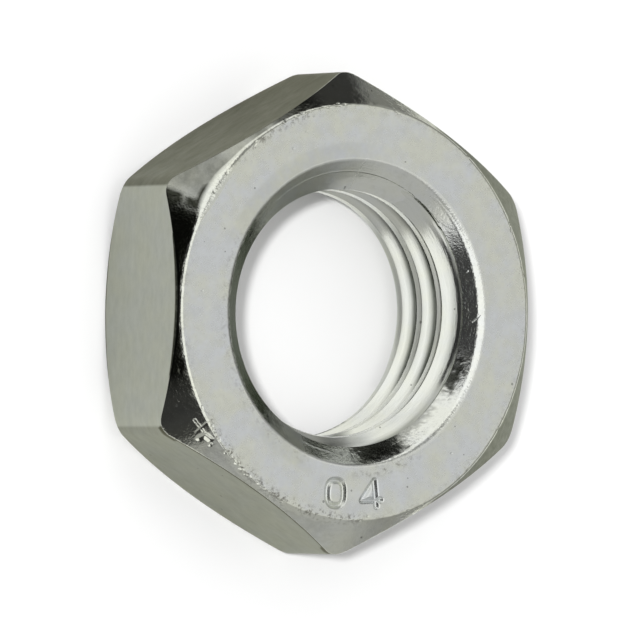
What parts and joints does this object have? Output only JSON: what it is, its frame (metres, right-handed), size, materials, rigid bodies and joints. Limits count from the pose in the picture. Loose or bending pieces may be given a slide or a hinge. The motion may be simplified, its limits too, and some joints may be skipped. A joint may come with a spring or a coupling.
{
  "type": "thin hex nut",
  "caption": "Thin hexagon nut, chamfered and countersunk on both sides, with a coarse metric internal thread.",
  "frame": {"origin": "centre of the lower bearing face, on the thread's axis: the bottom centre of the nut as it lies", "axes": "+Z along the thread's axis, up out of the upper face; +X and -X square to two wrench flats; +Y and -Y through two corners"},
  "size_m": [0.03, 0.0342, 0.0098],
  "materials": {
    "zinc_plated_steel": "satin zinc electroplate, pale grey with a faint yellow-green cast"
  },
  "bodies": {
    "root": {"hex_nut": "zinc_plated_steel"}
  },
  "joints": []
}
